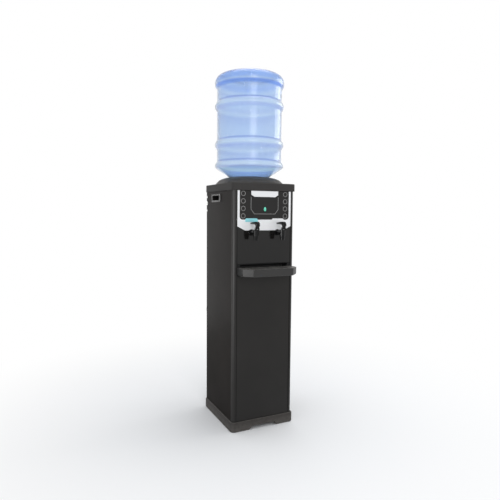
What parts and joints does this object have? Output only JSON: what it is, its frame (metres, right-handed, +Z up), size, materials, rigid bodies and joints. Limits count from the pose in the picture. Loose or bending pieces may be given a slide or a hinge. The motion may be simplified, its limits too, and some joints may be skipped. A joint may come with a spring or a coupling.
{
  "type": "floor water cooler",
  "caption": "Free-standing water cooler with an inverted bottle, lever taps, a drip tray, side handholds and a wire-on-tube condenser across its back.",
  "frame": {"origin": "centre of the bounding box's base, on the floor", "axes": "+Z up, -Y towards the front with the taps, +X to the right as seen by someone facing the taps"},
  "size_m": [0.2778, 0.3904, 1.394],
  "materials": {
    "charcoal_plastic": "satin",
    "plinth_plastic": "matte",
    "charcoal_steel": "satin",
    "gloss_charcoal": "gloss",
    "white_plastic": "satin",
    "cyan_plastic": "satin",
    "teal_lens": "gloss",
    "black_plastic": "satin",
    "soft_black": "matte",
    "blue_bottle": "clear gloss",
    "tank_plastic": "satin",
    "foam": "matte",
    "clear_silicone": "satin",
    "zinc_steel": "satin",
    "copper": "satin",
    "black_enamel": "gloss"
  },
  "bodies": {
    "cabinet": {"baffle_disc": "tank_plastic", "base_pan": "zinc_steel", "base_plinth": "plinth_plastic", "blank_plate": "white_plastic", "capillary_tube": "copper", "cold_tank": "tank_plastic", "compressor": "black_enamel", "compressor_grommet_front_left": "soft_black", "compressor_grommet_front_right": "soft_black", "compressor_grommet_rear_left": "soft_black", "compressor_grommet_rear_right": "soft_black", "condenser": "black_enamel", "condenser_bracket_lower_left": "zinc_steel", "condenser_bracket_lower_right": "zinc_steel", "condenser_bracket_upper_left": "zinc_steel", "condenser_bracket_upper_right": "zinc_steel", "control_shield": "gloss_charcoal", "cord_gland": "soft_black", "corner_post_left": "charcoal_plastic", "corner_post_right": "charcoal_plastic", "discharge_line": "copper", "evaporator_coil": "copper", "fascia_frame": "white_plastic", "filter_drier": "copper", "front_lower_panel": "charcoal_plastic", "grip_cup_left": "charcoal_plastic", "grip_cup_right": "charcoal_plastic", "hose_cold": "clear_silicone", "hose_natural": "clear_silicone", "indicator_lens": "teal_lens", "rear_panel": "zinc_steel", "relay_box": "black_plastic", "side_panel_left": "charcoal_steel", "side_panel_right": "charcoal_steel", "suction_line": "copper", "tank_insulation": "foam", "tank_shelf": "zinc_steel", "tap_body_cold": "black_plastic", "tap_body_natural": "black_plastic", "tap_bonnet_cold": "black_plastic", "tap_bonnet_natural": "black_plastic", "tap_fascia": "gloss_charcoal", "tap_nut_cold": "zinc_steel", "tap_nut_natural": "zinc_steel", "tap_pin_cold": "zinc_steel", "tap_pin_natural": "zinc_steel", "tap_tab_cold": "cyan_plastic", "tap_tab_natural": "white_plastic", "thermostat_body": "black_plastic", "top_cover": "charcoal_plastic", "tray_housing": "black_plastic"},
    "tray": {"drip_tray": "charcoal_plastic"},
    "grille": {"drip_grille": "black_plastic"},
    "collar": {"bottle_collar": "charcoal_plastic"},
    "bottle": {"water_bottle": "blue_bottle"},
    "lever_cold": {"tap_lever_cold": "black_plastic"},
    "lever_natural": {"tap_lever_natural": "black_plastic"},
    "stem_cold": {"tap_stem_cold": "clear_silicone"},
    "stem_natural": {"tap_stem_natural": "clear_silicone"},
    "knob": {"thermostat_knob": "black_plastic"}
  },
  "joints": [
    {"name": "tray_slide", "type": "slide", "parent": "cabinet", "child": "tray", "axis": [0, -1, 0], "range_m": [0, 0.115]},
    {"name": "grille_lift", "type": "slide", "parent": "tray", "child": "grille", "axis": [0, 0, 1], "range_m": [0, 0.03]},
    {"name": "collar_lift", "type": "slide", "parent": "cabinet", "child": "collar", "axis": [0, 0, 1], "range_m": [0, 0.05]},
    {"name": "bottle_lift", "type": "slide", "parent": "collar", "child": "bottle", "axis": [0, 0, 1], "range_m": [0, 0.12]},
    {"name": "lever_cold_turn", "type": "hinge", "parent": "cabinet", "child": "lever_cold", "pos_m": [-0.056, -0.16265, 0.7885], "axis": [1, 0, 0], "range_deg": [0, 25], "stiffness_Nm_per_rad": 0.15, "springref_deg": -5.73},
    {"name": "stem_cold_lift", "type": "slide", "parent": "cabinet", "child": "stem_cold", "axis": [0, 0, 1], "range_m": [0, 0.0036]},
    {"name": "lever_natural_turn", "type": "hinge", "parent": "cabinet", "child": "lever_natural", "pos_m": [0.056, -0.16265, 0.7885], "axis": [1, 0, 0], "range_deg": [0, 25], "stiffness_Nm_per_rad": 0.15, "springref_deg": -5.73},
    {"name": "stem_natural_lift", "type": "slide", "parent": "cabinet", "child": "stem_natural", "axis": [0, 0, 1], "range_m": [0, 0.0036]},
    {"name": "knob_turn", "type": "hinge", "parent": "cabinet", "child": "knob", "pos_m": [0.0605, 0.17315, 0.288], "axis": [0, 1, 0], "range_deg": [0, 270]}
  ],
  "couplings": [
    {"joint": "stem_cold_lift", "follows": "lever_cold_turn", "m_per_rad": 0.00825},
    {"joint": "stem_natural_lift", "follows": "lever_natural_turn", "m_per_rad": 0.00825}
  ]
}
